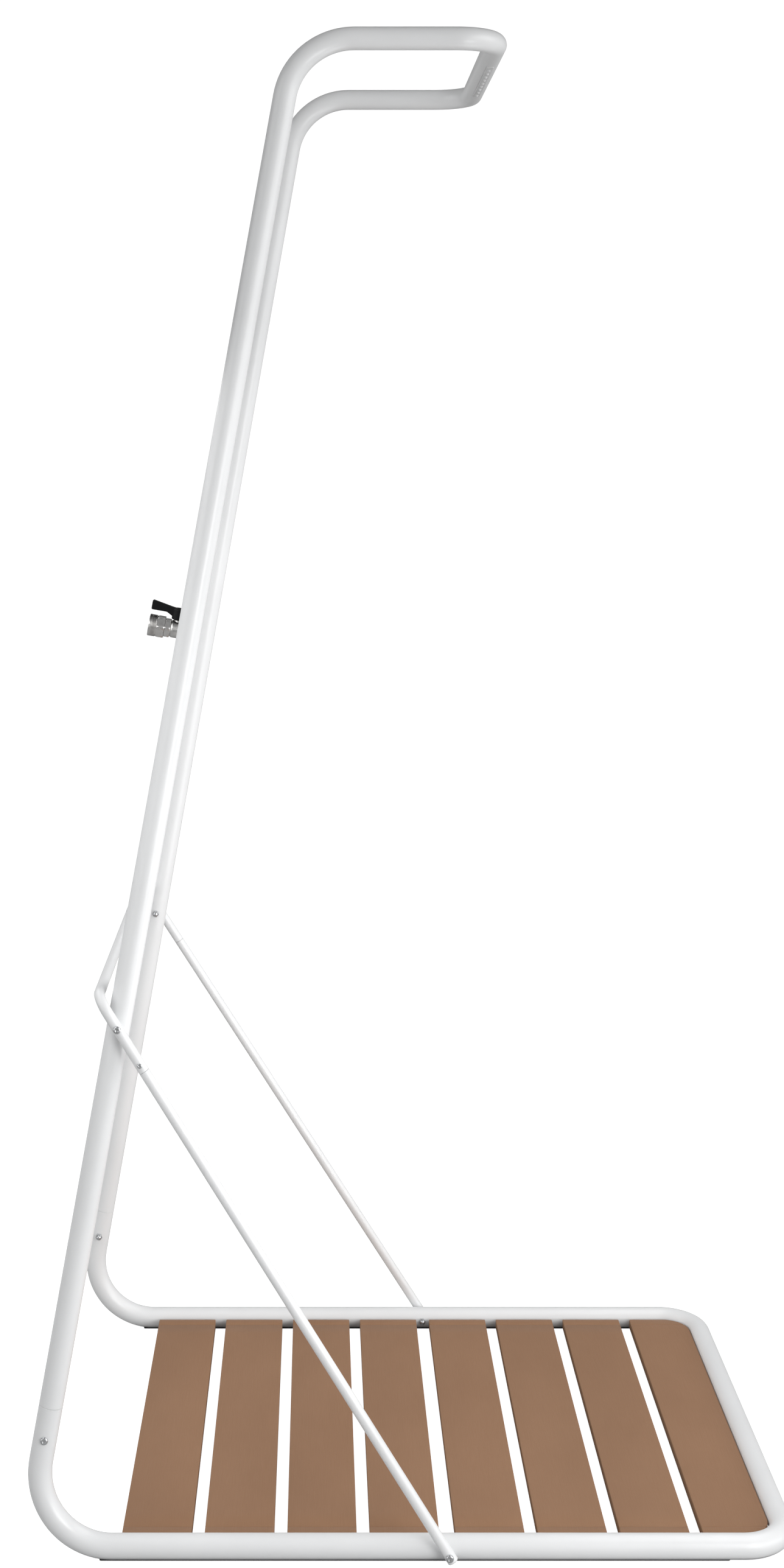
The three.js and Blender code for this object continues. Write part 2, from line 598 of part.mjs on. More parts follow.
// ---------------------------------------------------------------- spray strip
function sprayStrip() {
  const { halfLength, halfWidth, lip, low, high } = SPRAY;
  const { length, tip, root, hole } = NOZZLE;
  const y = [-halfLength, halfLength];
  let made = solid(block([-halfWidth, halfWidth], y, [low, high]));
  made = made.add(solid(block([-lip, lip], y, [high - 0.6, high + 0.8])));
  for (let i = 0; i < SPRAY.nozzles; i += 1) {
    const spot = new THREE.Matrix4().setPosition(0, (i - (SPRAY.nozzles - 1) / 2) * SPRAY.pitch, 0);
    const nozzle = turned([[0, low - length], [tip, low - length], [root, low + 0.2],
      [root, low + 1.2], [0, low + 1.2]], 8);
    made = drill(made.add(solid(nozzle, spot)), spot, hole, low - length - 1, high + 1, 5);
  }
  const piece = mesh("spray_strip", geometryOf(made), PALE_SILICONE);
  piece.position.set(TOP.frontX, 0, TOP.z);
  return piece;
}

// ---------------------------------------------------------------- assembly
const shower = new THREE.Group();
shower.add(baseFrame(), upperFrame(), stayYoke(), sprayStrip());
SIDES.forEach(([sideName], i) => {
  const upright = UPRIGHTS[i];
  shower.add(
    jointSpigot(`joint_spigot_${sideName}`, upright),
    boltedStack("joint", sideName, jointFrame(upright), TUBE.radius),
    boltedStack("yoke", sideName, yokeBoltFrame(upright), ROD_OFFSET + ROD.radius),
    boltedStack("foot", sideName, footBoltFrame(upright), ROD_OFFSET + ROD.radius),
    stay(`stay_${sideName}`, upright),
    staySpigot(`stay_spigot_${sideName}`, upright),
    setScrew(`stay_set_screw_${sideName}`, upright),
  );
});
shower.add(...STRIPS.map(floorStrip));
SLATS.forEach((_, index) => {
  shower.add(slat(index));
  SIDES.forEach(([sideName, side]) => shower.add(slatScrew(index, sideName, side)));
});
const valveParts = [valveBody(), valveBall(), valveStem(), valveLever(), leverNut(), hoseConnector()];
shower.add(groupAt(VALVE_FRAME, ...valveParts));

export default shower;
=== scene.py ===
"""Looks of the free-standing garden shower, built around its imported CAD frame.

Metres, +X to the front of the platform, +Y to its left side, +Z up.
"""
import json
import math

import bmesh
import bpy
from mathutils import Matrix, Vector


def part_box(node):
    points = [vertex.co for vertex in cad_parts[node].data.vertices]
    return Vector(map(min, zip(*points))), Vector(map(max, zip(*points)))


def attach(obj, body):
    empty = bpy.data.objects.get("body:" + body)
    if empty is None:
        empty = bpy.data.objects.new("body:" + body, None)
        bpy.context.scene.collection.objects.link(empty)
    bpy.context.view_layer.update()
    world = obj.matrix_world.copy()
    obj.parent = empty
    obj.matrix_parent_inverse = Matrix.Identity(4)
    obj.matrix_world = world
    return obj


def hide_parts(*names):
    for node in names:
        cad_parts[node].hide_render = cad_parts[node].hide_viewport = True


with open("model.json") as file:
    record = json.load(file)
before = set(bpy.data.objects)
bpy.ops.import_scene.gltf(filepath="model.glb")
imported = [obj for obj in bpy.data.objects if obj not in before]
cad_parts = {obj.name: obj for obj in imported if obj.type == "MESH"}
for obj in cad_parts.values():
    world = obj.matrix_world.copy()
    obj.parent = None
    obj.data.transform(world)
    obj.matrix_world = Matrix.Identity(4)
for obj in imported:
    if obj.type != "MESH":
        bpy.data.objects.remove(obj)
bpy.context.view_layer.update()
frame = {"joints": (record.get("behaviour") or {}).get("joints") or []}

MM = 0.001
FRAME_BODY = "frame"
LEVER_BODY = "lever"

# ------------------------------------------------------------------ driving dimensions
TUBE_R, TUBE_WALL = 17.5 * MM, 2 * MM
ROD_R, ROD_WALL = 8 * MM, 1.5 * MM
ROD_OFFSET = TUBE_R + ROD_R + 0.5 * MM
REAR_BEND, BASE_CORNER, TOP_CORNER, YOKE_BEND = 105 * MM, 65 * MM, 62 * MM, 28 * MM
JOINT_BOLT_Z, YOKE_BOLT_Z = 175 * MM, 763 * MM
FOOT_X = 48.8 * MM
STAY_END, STAY_SEAM, STAY_SCREW, YOKE_RISE = 9 * MM, 72 * MM, 61 * MM, 53 * MM
SEAM_GAP = 0.3 * MM
STEM_AT = 50 * MM
SLATS = 8
SLAT_EDGE, SLAT_CORNER = 1.2 * MM, 44 * MM
TAB_INNER, TAB_OUTER, TAB_HALF_WIDTH = 352 * MM, 394 * MM, 20 * MM
TAB_LOW, TAB_HIGH = 5.7 * MM, 8.7 * MM
SPRAY_NOZZLES, SPRAY_PITCH = 9, 32 * MM
SPRAY_LOW, SPRAY_HIGH, SPRAY_HALF_WIDTH = 18.2 * MM, 11 * MM, 5.7 * MM  # the first two below TOP_Z
STRIP_HALF_WIDTH = 5 * MM

# Screws and nuts, in millimetres as their turned profiles are
BOLT = {"shank": 3, "head": 5.6, "height": 3.3, "hexagon_corner": 2.31}
SET_SCREW = {"shank": 2, "head": 3.6, "height": 1.8, "hexagon_corner": 1.45}
BOLT_TIP, SET_SCREW_TIP = 6, 1.5
NUT_CORNER, LEVER_NUT_CORNER = 5.75, 5.8
INLET_CORNER, OUTLET_CORNER, COUPLING_CORNER = 17, 18, 21
TURNED_SIDES = 72
SIDES = (("right", -1), ("left", 1))

X, Y, Z = Vector((1, 0, 0)), Vector((0, 1, 0)), Vector((0, 0, 1))


# ------------------------------------------------------------------ places, from the frame
def placement(origin, z_direction, x_direction):
    """The matrix that stands a piece's own Z along one direction and its X towards another."""
    z = z_direction.normalized()
    x = (x_direction - z * x_direction.dot(z)).normalized()
    y = z.cross(x)
    return Matrix.Translation(origin) @ Matrix((x, y, z)).transposed().to_4x4()


class Upright:
    """The centre line of one upright, mirrored from the lever joint's axis on the left one."""

    def __init__(self, side, point, along):
        mirror = Vector((1, side, 1))
        self.side = side
        self.point = point * mirror
        self.along = along * mirror
        outward = Y * side
        self.outward = (outward - self.along * outward.dot(self.along)).normalized()

    def at_height(self, z):
        return self.point + self.along * ((z - self.point.z) / self.along.z)


lever_joint = frame["joints"][0]
ALONG = Vector(lever_joint["axis"]).normalized()
BACK = (-X - ALONG * (-X).dot(ALONG)).normalized()
VALVE_POINT = Vector(lever_joint["pos_m"]) - BACK * STEM_AT
VALVE_FRAME = placement(VALVE_POINT, BACK, ALONG)
STEM_FRAME = VALVE_FRAME @ placement(Vector((0, 0, STEM_AT)), X, Z)

base_low, base_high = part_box("base_frame")
top_low, top_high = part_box("upper_frame")
BASE_Z = base_low.z + TUBE_R
BASE_FRONT_X = base_high.x - TUBE_R
TOP_Z = top_high.z - TUBE_R
TOP_FRONT_X = top_high.x - TUBE_R
SEAM_Z = (base_high.z + top_low.z) / 2
UPRIGHTS = [Upright(side, VALVE_POINT, ALONG) for _, side in SIDES]
RIGHT, LEFT = UPRIGHTS


def joint_frame(upright):
    return placement(upright.at_height(JOINT_BOLT_Z), upright.outward, upright.along)


def yoke_bolt_frame(upright):
    return placement(upright.at_height(YOKE_BOLT_Z), upright.outward, upright.along)


def foot_bolt_frame(upright):
    side = upright.side
    half_width = abs(upright.at_height(BASE_Z).y)
    return placement(Vector((FOOT_X, side * half_width, BASE_Z)), Y * side, Z)


class StayLine:
    """The rod's centre line on one side, from its foot bolt up to the yoke bolt."""

    def __init__(self, upright):
        half_width = abs(upright.at_height(BASE_Z).y)
        self.bolt = upright.at_height(YOKE_BOLT_Z) + upright.outward * ROD_OFFSET
        self.foot = Vector((FOOT_X, upright.side * (half_width + ROD_OFFSET), BASE_Z))
        self.along = (self.bolt - self.foot).normalized()
        self.outward = (upright.outward - self.along * upright.outward.dot(self.along)).normalized()

    def from_bolt(self, distance):
        return self.bolt + self.along * distance


STAY_LINES = [StayLine(upright) for upright in UPRIGHTS]


# ------------------------------------------------------------------ camera, light and floor
def camera():
    """A level view along +Y. The shift frames the object the way a tall picture does."""
    data = bpy.data.cameras.new("camera")
    data.sensor_fit = "AUTO"
    data.sensor_width = 36
    data.lens = 49.62
    data.shift_x = 0.0474
    data.shift_y = -0.2298
    made = bpy.data.objects.new("camera", data)
    made.location = (-0.1401, -3.5212, 1.6398)
    made.rotation_euler = (math.radians(90), 0, 0)
    bpy.context.scene.collection.objects.link(made)
    bpy.context.scene.camera = made


def soft_box(name, location, target, size, power):
    """A soft rectangular lamp that lights the object but isn't itself in the picture."""
    data = bpy.data.lights.new(name, "AREA")
    data.shape = "RECTANGLE"
    data.size, data.size_y = size
    data.energy = power
    made = bpy.data.objects.new(name, data)
    made.location = location
    made.rotation_euler = (Vector(target) - Vector(location)).to_track_quat("-Z", "Y").to_euler()
    made.visible_camera = False
    bpy.context.scene.collection.objects.link(made)


def sun(name, towards, strength, softness, shine=True):
    """Even light from one direction, as from a large soft box far away."""
    data = bpy.data.lights.new(name, "SUN")
    data.energy = strength
    data.angle = math.radians(softness)
    made = bpy.data.objects.new(name, data)
    made.rotation_euler = Vector(towards).to_track_quat("Z", "Y").to_euler()
    made.location = Vector(towards).normalized() * 5
    made.visible_glossy = shine
    bpy.context.scene.collection.objects.link(made)


def surround():
    """Even white light that is stronger from low in front, and a plain white backdrop."""
    world = bpy.data.worlds.new("studio")
    bpy.context.scene.world = world
    world.use_nodes = True
    tree = world.node_tree
    soft = tree.nodes["Background"]
    soft.inputs["Color"].default_value = (1, 1, 1, 1)
    place = tree.nodes.new("ShaderNodeTexCoord").outputs["Generated"]
    towards = tree.nodes.new("ShaderNodeVectorMath")
    towards.operation = "DOT_PRODUCT"
    tree.links.new(place, towards.inputs[0])
    towards.inputs[1].default_value = Vector((0.35, -0.35, -0.87)).normalized()
    fade = tree.nodes.new("ShaderNodeMapRange")
    for key, value in (("From Min", -0.9), ("From Max", 0.9), ("To Min", 0.05), ("To Max", 0.85)):
        fade.inputs[key].default_value = value
    tree.links.new(towards.outputs["Value"], fade.inputs["Value"])
    tree.links.new(fade.outputs["Result"], soft.inputs["Strength"])
    backdrop = tree.nodes.new("ShaderNodeBackground")
    backdrop.inputs["Color"].default_value = (1, 1, 1, 1)
    backdrop.inputs["Strength"].default_value = 1.1
    path = tree.nodes.new("ShaderNodeLightPath")
    choice = tree.nodes.new("ShaderNodeMixShader")
    tree.links.new(path.outputs["Is Camera Ray"], choice.inputs["Fac"])
    tree.links.new(soft.outputs["Background"], choice.inputs[1])
    tree.links.new(backdrop.outputs["Background"], choice.inputs[2])
    tree.links.new(choice.outputs["Shader"], tree.nodes["World Output"].inputs["Surface"])


def studio():
    """The surround, four far lamps and five soft boxes."""
    surround()
    sun("fill_right", (1.0, -0.50, 0.05), 1.55, 60)
    sun("fill_left", (-0.9, -0.25, 0.05), 1.05, 60)
    sun("fill_back", (-0.25, 1.0, 0.12), 1.6, 60, shine=False)
    sun("overhead", (0.0, 0.1, 1.0), 0.25, 60, shine=False)
    soft_box("key", (1.1, -1.8, 0.85), (-0.4, -0.3, 0.75), (0.8, 1.2), 14)
    soft_box("side", (-1.4, -1.5, 0.95), (-0.45, -0.3, 0.75), (0.6, 0.8), 1.3)
    soft_box("low_right", (0.7, -0.4, 0.5), (0.0, -0.1, 2.2), (0.8, 0.8), 4.5)
    soft_box("top_right", (0.95, 0.0, 1.8), (0.95, 0.0, 0), (1.0, 2.2), 14.5)
    soft_box("top_left", (-1.2, -0.1, 1.8), (-1.2, -0.1, 0), (1.0, 2.0), 13.5)
    bpy.context.scene.view_settings.view_transform = "Standard"
    bpy.context.scene.view_settings.look = "None"


def floor():
    """A large round pale floor."""
    radius, sides = 14.0, 96
    bm = bmesh.new()
    bmesh.ops.create_circle(bm, cap_ends=True, radius=radius, segments=sides)
    mesh = bpy.data.meshes.new("floor")
    bm.to_mesh(mesh)
    bm.free()
    made = bpy.data.objects.new("floor", mesh)
    bpy.context.scene.collection.objects.link(made)
    made.data.materials.append(floor_paint())


# ------------------------------------------------------------------ materials
class Nodes:
    """Short names for the shader nodes that the materials use."""

    def __init__(self, name):
        self.material = bpy.data.materials.new(name)
        self.material.use_nodes = True
        self.tree = self.material.node_tree
        self.shader = self.tree.nodes["Principled BSDF"]
        self.coordinates = self.tree.nodes.new("ShaderNodeTexCoord").outputs["Object"]

    def node(self, kind, **inputs):
        made = self.tree.nodes.new(kind)
        for key, value in inputs.items():
            self.feed(made.inputs[key.replace("_", " ")], value)
        return made

    def feed(self, socket, value):
        if isinstance(value, bpy.types.NodeSocket):
            self.tree.links.new(value, socket)
        else:
            socket.default_value = value

    def stretched(self, scale):
        return self.node("ShaderNodeMapping", Vector=self.coordinates, Scale=scale).outputs["Vector"]

    def noise(self, scale, detail=3.0, roughness=0.5, stretch=(1, 1, 1)):
        made = self.node("ShaderNodeTexNoise", Vector=self.stretched(stretch), Scale=scale,
                         Detail=detail, Roughness=roughness)
        return made.outputs["Fac"]

    def ramp(self, factor, stops):
        made = self.node("ShaderNodeValToRGB", Fac=factor)
        elements = made.color_ramp.elements
        while len(elements) < len(stops):
            elements.new(0.5)
        for element, (position, colour) in zip(elements, stops):
            element.position = position
            element.color = (*colour, 1)
        return made.outputs["Color"]

    def span(self, factor, low, high, from_low=0.0, from_high=1.0):
        made = self.node("ShaderNodeMapRange", Value=factor)
        values = (from_low, from_high, low, high)
        for key, value in zip(("From Min", "From Max", "To Min", "To Max"), values):
            made.inputs[key].default_value = value
        return made.outputs["Result"]

    def mixed(self, factor, first, second, blend="MIX"):
        made = self.tree.nodes.new("ShaderNodeMix")
        made.data_type = "RGBA"
        made.blend_type = blend
        self.feed(made.inputs["Factor"], factor)
        self.feed(made.inputs[6], first)
        self.feed(made.inputs[7], second)
        return made.outputs[2]

    def bump(self, height, strength, distance, normal=None):
        made = self.node("ShaderNodeBump", Height=height, Strength=strength, Distance=distance)
        if normal is not None:
            self.feed(made.inputs["Normal"], normal)
        return made.outputs["Normal"]

    def set(self, **inputs):
        for key, value in inputs.items():
            self.feed(self.shader.inputs[key.replace("_", " ")], value)
        return self.material


def floor_paint():
    """A pale matt floor that looks plain white in the picture."""
    n = Nodes("floor_paint")
    cloud = n.noise(0.6, 2.0)
    pale = n.ramp(cloud, [(0.3, (0.40, 0.40, 0.40)), (0.7, (0.42, 0.42, 0.42))])
    seen = n.node("ShaderNodeLightPath").outputs["Is Camera Ray"]
    return n.set(Base_Color=pale, Roughness=0.9, Specular_IOR_Level=0.0, Emission_Color=(1, 1, 1, 1),
                 Emission_Strength=n.span(seen, 0.0, 0.95))


def powder_coat():
    """White polyester powder: fine orange peel, a slow drift of tone, and painted contact shade darkening
    the lowest few millimetres, where the tubes meet the floor.
    """
    n = Nodes("powder_coat")
    drift = n.noise(9.0, 3.0)
    speck = n.noise(900.0, 2.0, 0.6)
    white = n.ramp(drift, [(0.3, (0.775, 0.782, 0.788)), (0.7, (0.802, 0.809, 0.815))])
    tone = n.mixed(n.span(speck, 0.0, 0.06, 0.62, 0.75), white, (0.62, 0.62, 0.61, 1))
    height = n.node("ShaderNodeSeparateXYZ", Vector=n.coordinates).outputs["Z"]
    # Painted contact shade: the white darkens towards near black below 9.5 mm of height, most below 4.2 mm,
    # standing in for the shadow where the tube meets the floor.
    painted_low_shade = n.mixed(n.span(height, 0.72, 0.0, 0.0042, 0.0095), tone, (0.09, 0.09, 0.088, 1))
    peel = n.noise(620.0, 2.0, 0.45)
    grain = n.noise(2600.0, 1.0)
    normal = n.bump(grain, 0.05, 0.0002, n.bump(peel, 0.10, 0.0005))
    return n.set(Base_Color=painted_low_shade, Roughness=n.span(drift, 0.30, 0.38), Normal=normal,
                 Specular_IOR_Level=0.5, Coat_Weight=0.2, Coat_Roughness=0.15)


def slat_composite():
    """Brown composite board: brushed lines along its length, fine fibres, each board a shade apart."""
    n = Nodes("slat_composite")
    brush = n.noise(60.0, 6.0, 0.65, stretch=(30, 0.35, 30))
    fibre = n.noise(240.0, 4.0, 0.7, stretch=(9, 0.8, 9))
    cloud = n.noise(7.0, 4.0, 0.6, stretch=(1, 0.5, 1))
    board = n.noise(5.0, 0.0, 0.5, stretch=(1, 0.01, 1))
    brown = n.ramp(cloud, [(0.25, (0.293, 0.158, 0.086)), (0.75, (0.330, 0.182, 0.101))])
    lined = n.mixed(n.span(brush, 0.0, 0.22, 0.42, 0.75), brown, (0.205, 0.108, 0.058, 1))
    flecked = n.mixed(n.span(fibre, 0.0, 0.25, 0.60, 0.80), lined, (0.42, 0.26, 0.155, 1))
    toned = n.mixed(n.span(board, 0.0, 0.14, 0.35, 0.65), flecked, (0.23, 0.13, 0.072, 1))
    normal = n.bump(fibre, 0.18, 0.0003, n.bump(brush, 0.30, 0.0005))
    return n.set(Base_Color=toned, Roughness=n.span(brush, 0.52, 0.68), Normal=normal,
                 Specular_IOR_Level=0.3)


def brushed_metal(name, colour, darker, roughness, scale):
    """Satin metal with fine scratches and slow changes of tone."""
    n = Nodes(name)
    cloud = n.noise(scale, 4.0, 0.6)
    scratch = n.noise(scale * 8, 3.0, 0.7, stretch=(6, 1, 1))
    tone = n.mixed(n.span(cloud, 0.0, 0.5, 0.4, 0.7), (*colour, 1), (*darker, 1))
    return n.set(Base_Color=tone, Metallic=1.0, Normal=n.bump(scratch, 0.10, 0.0001),
                 Roughness=n.span(scratch, roughness - 0.06, roughness + 0.08))


def moulded_plastic(name, colour, lighter, roughness, specular=0.5):
    """Plastic or rubber with a fine moulded grain."""
    n = Nodes(name)
    cells = n.node("ShaderNodeTexVoronoi", Vector=n.coordinates, Scale=1500.0).outputs["Distance"]
    cloud = n.noise(60.0, 4.0)
    tone = n.mixed(n.span(cloud, 0.0, 0.5, 0.4, 0.75), (*colour, 1), (*lighter, 1))
    return n.set(Base_Color=tone, Normal=n.bump(cells, 0.25, 0.0002), Specular_IOR_Level=specular,
                 Roughness=n.span(cloud, roughness - 0.06, roughness + 0.08))


COAT = powder_coat()
COMPOSITE = slat_composite()
STAINLESS = brushed_metal("stainless", (0.62, 0.63, 0.64), (0.48, 0.49, 0.50), 0.30, 220.0)
NICKEL = brushed_metal("nickel_plate", (0.74, 0.732, 0.72), (0.54, 0.535, 0.53), 0.26, 160.0)
ALUMINIUM = brushed_metal("turned_aluminium", (0.72, 0.73, 0.74), (0.60, 0.61, 0.62), 0.34, 180.0)
BLACK = moulded_plastic("lever_plastic", (0.004, 0.004, 0.0045), (0.008, 0.008, 0.009), 0.42, 0.14)
RUBBER = moulded_plastic("strip_rubber", (0.060, 0.061, 0.064), (0.085, 0.086, 0.090), 0.65)
SILICONE = moulded_plastic("spray_silicone", (0.62, 0.625, 0.63), (0.68, 0.685, 0.69), 0.60)
WHITE_PLASTIC = moulded_plastic("white_plastic", (0.74, 0.74, 0.73), (0.80, 0.80, 0.79), 0.45)


# ------------------------------------------------------------------ mesh making
def piece(name, vertices, faces, material, slot, body=FRAME_BODY, replaces=None, sharp_degrees=38):
    """A shaded object from points and faces in the row frame, riding on a body."""
    mesh = bpy.data.meshes.new(name)
    mesh.from_pydata([tuple(v) for v in vertices], [], faces)
    return finished(name, mesh, material, body, replaces, sharp_degrees)


def finished(name, mesh, material, body=FRAME_BODY, replaces=None, sharp_degrees=38):
    """An object from a mesh, with its sharp edges marked, that rides on a body."""
    bm = bmesh.new()
    bm.from_mesh(mesh)
    bmesh.ops.remove_doubles(bm, verts=bm.verts, dist=1e-6)
    bmesh.ops.recalc_face_normals(bm, faces=bm.faces)
    limit = math.radians(sharp_degrees)
    for face in bm.faces:
        face.smooth = True
    for edge in bm.edges:
        edge.smooth = not (len(edge.link_faces) == 2 and edge.calc_face_angle() > limit)
    bm.to_mesh(mesh)
    bm.free()
    mesh.materials.clear()
    mesh.materials.append(material)
    made = bpy.data.objects.new(name, mesh)
    bpy.context.scene.collection.objects.link(made)
    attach(made, body)
    if replaces:
        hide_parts(replaces)
    return made


def bent_path(corners, bends, straight_step=0.12, bend_step=math.radians(4)):
    """Stations (point, tangent) along straight runs whose corners are rounded by arcs."""
    headings = [(b - a).normalized() for a, b in zip(corners, corners[1:])]
    stations = [(corners[0], headings[0])]
    for corner, coming, going, radius in zip(corners[1:], headings, headings[1:], bends):
        turn = coming.angle(going)
        start = corner - coming * (radius * math.tan(turn / 2))
        inward = (going - coming * going.dot(coming)).normalized()
        steps = math.ceil(turn / bend_step)
        for i in range(steps + 1):
            angle = turn * i / steps
            point = start + coming * (radius * math.sin(angle)) + inward * (radius * (1 - math.cos(angle)))
            stations.append((point, coming * math.cos(angle) + inward * math.sin(angle)))
    stations.append((corners[-1], headings[-1]))
    return filled(stations, straight_step)


def filled(stations, step):
    """Adds stations on long straight runs, so that shading stays even."""
    result = [stations[0]]
    for (a, ta), (b, tb) in zip(stations, stations[1:]):
        count = max(1, round((b - a).length / step)) if ta.angle(tb, 0) < 1e-3 else 1
        result += [(a.lerp(b, i / count), tb) for i in range(1, count + 1)]
    return result


def transported(stations):
    """One (point, side, up) per station, turned as little as possible from one to the next."""
    tangent = stations[0][1]
    side = tangent.orthogonal().normalized()
    result = []
    for point, direction in stations:
        turn = tangent.rotation_difference(direction)
        side = turn @ side
        side = (side - direction * side.dot(direction)).normalized()
        tangent = direction
        result.append((point, side, direction.cross(side)))
    return result


def ring_faces(count, sides):
    """Quads between `count` rings that follow each other, the last joined to the first."""
    faces = []
    for i in range(count):
        low, high = i * sides, ((i + 1) % count) * sides
        for j in range(sides):
            k = (j + 1) % sides
            faces.append((low + j, low + k, high + k, high + j))
    return faces


def capped_faces(count, sides):
    """Quads between `count` rings that follow each other, and a flat face on either end."""
    quads = ring_faces(count, sides)[: (count - 1) * sides]
    last_ring = range((count - 1) * sides, count * sides)
    return quads + [tuple(range(sides))[::-1], tuple(last_ring)]


def hollow_tube(stations, radius, wall, sides=48, lip=0.3 * MM):
    """Outer skin, rounded rims and bore of a tube, as one closed surface."""
    frames = transported(stations)
    rings = []

    def ring(index, r, shift=0.0):
        point, side, up = frames[index]
        centre = point + stations[index][1] * shift
        angles = (2 * math.pi * j / sides for j in range(sides))
        rings.append([centre + side * (r * math.cos(a)) + up * (r * math.sin(a)) for a in angles])

    last = len(frames) - 1
    ring(0, radius - lip)
    ring(0, radius, lip)
    for i in range(1, last):
        ring(i, radius)
    ring(last, radius, -lip)
    ring(last, radius - lip)
    ring(last, radius - wall)
    for i in range(last - 1, 0, -1):
        ring(i, radius - wall)
    ring(0, radius - wall)
    vertices = [v for r in rings for v in r]
    return vertices, ring_faces(len(rings), sides)


def slotted(vertices, faces, low, high):
    """A mesh of the closed surface with a box-shaped slot cut out of it."""
    whole = bpy.data.meshes.new("whole")
    whole.from_pydata([tuple(v) for v in vertices], [], faces)
    bm = bmesh.new()
    bmesh.ops.create_cube(bm, size=1, matrix=Matrix.Translation((low + high) / 2)
                          @ Matrix.Diagonal((*(high - low), 1)))
    block = bpy.data.meshes.new("block")
    bm.to_mesh(block)
    bm.free()
    holder, cutter = (bpy.data.objects.new(mesh.name, mesh) for mesh in (whole, block))
    for made in (holder, cutter):
        bpy.context.scene.collection.objects.link(made)
    cut = holder.modifiers.new("slot", "BOOLEAN")
    cut.operation, cut.solver, cut.object = "DIFFERENCE", "EXACT", cutter
    result = bpy.data.meshes.new_from_object(holder.evaluated_get(bpy.context.evaluated_depsgraph_get()))
    for made in (holder, cutter):
        mesh = made.data
        bpy.data.objects.remove(made)
        bpy.data.meshes.remove(mesh)
    return result


def filleted(points, steps=4):
    """A profile [(radius, z, fillet)] with its corners rounded by arcs."""
    result = [Vector(points[0][:2])]
    for before, here, after in zip(points, points[1:], points[2:]):
        corner, fillet = Vector(here[:2]), here[2] if len(here) > 2 else 0
        if not fillet:
            result.append(corner)
            continue
        to_before = (Vector(before[:2]) - corner).normalized()
        to_after = (Vector(after[:2]) - corner).normalized()
        half = to_before.angle(to_after) / 2
        reach = fillet / math.tan(half)
        start, end = corner + to_before * reach, corner + to_after * reach
        centre = corner + (to_before + to_after).normalized() * (fillet / math.sin(half))
        for i in range(steps + 1):
            result.append(centre + (start - centre).slerp(end - centre, i / steps).normalized() * fillet)
    result.append(Vector(points[-1][:2]))
    return result


def hexagon(corner_radius):
    """Radius of a hexagon, by the angle round its axis."""
    flat = corner_radius * math.cos(math.pi / 6)
    return lambda angle: flat / math.cos((angle + math.pi / 6) % (math.pi / 3) - math.pi / 6)


def turned(profile, matrix, sides=48):
    """A turned piece. Each profile entry is (radius, z), or (radius, z, shape) with a shape that
    gives the radius by angle and is trimmed to the entry's radius, as a chamfer trims a hexagon."""
    vertices, faces = [], []
    rings = []
    for entry in profile:
        radius, z = entry[0] * MM, entry[1] * MM
        shape = entry[2] if len(entry) > 2 else None
        if radius < 1e-7:
            rings.append([len(vertices)])
            vertices.append(matrix @ Vector((0, 0, z)))
            continue
        ring = []
        for j in range(sides):
            angle = 2 * math.pi * j / sides
            r = min(radius, shape(angle) * MM) if shape else radius
            ring.append(len(vertices))
            vertices.append(matrix @ Vector((r * math.cos(angle), r * math.sin(angle), z)))
        rings.append(ring)
    for low, high in zip(rings, rings[1:]):
        for j in range(sides):
            k = (j + 1) % sides
            if len(low) == 1:
                faces.append((low[0], high[k], high[j]))
            elif len(high) == 1:
                faces.append((low[j], low[k], high[0]))
            else:
                faces.append((low[j], low[k], high[k], high[j]))
    return vertices, faces


def cross_recess(length, half_width):
    """Radius of a plus sign, by the angle round its axis."""
    def radius(angle):
        slant = (angle + math.pi / 4) % (math.pi / 2) - math.pi / 4
        return min(length, half_width / max(abs(math.sin(slant)), 1e-6))
    return radius


def rounded_slab(outline, low, high, edge, steps=3):
    """A slab of one plan outline with its long edges rounded: rings from the under face to the top."""
    centre = sum(outline, Vector((0, 0))) / len(outline)
    normals = []
    count = len(outline)
    for i, point in enumerate(outline):
        before, after = outline[i - 1], outline[(i + 1) % count]
        a, b = (point - before).normalized(), (after - point).normalized()
        na, nb = Vector((a.y, -a.x)), Vector((b.y, -b.x))
        total = na + nb
        normals.append(total / (1 + na.dot(nb)))
    rings = []
    for i in range(steps + 1):
        angle = math.pi / 2 * i / steps
        rings.append((edge * (1 - math.sin(angle)), low + edge * (1 - math.cos(angle))))
    for i in range(steps + 1):
        angle = math.pi / 2 * i / steps
        rings.append((edge * (1 - math.cos(angle)), high - edge * (1 - math.sin(angle))))
    vertices = []
    for inset, z in rings:
        vertices += [Vector((*(p - n * inset), z)) for p, n in zip(outline, normals)]
    return vertices, capped_faces(len(rings), count)


# ------------------------------------------------------------------ main frame
def base_frame():
    """The lower bent tube: stubs, rear bends, side bars and front bar."""
    corners = [
        RIGHT.at_height(SEAM_Z) - RIGHT.along * (SEAM_GAP / 2),
        RIGHT.at_height(BASE_Z),
        Vector((BASE_FRONT_X, RIGHT.at_height(BASE_Z).y, BASE_Z)),
        Vector((BASE_FRONT_X, LEFT.at_height(BASE_Z).y, BASE_Z)),
        LEFT.at_height(BASE_Z),
        LEFT.at_height(SEAM_Z) - LEFT.along * (SEAM_GAP / 2),
    ]
    stations = bent_path(corners, [REAR_BEND, BASE_CORNER, BASE_CORNER, REAR_BEND])
    piece("base_tube", *hollow_tube(stations, TUBE_R, TUBE_WALL), COAT, "frame_coat", replaces="base_frame")


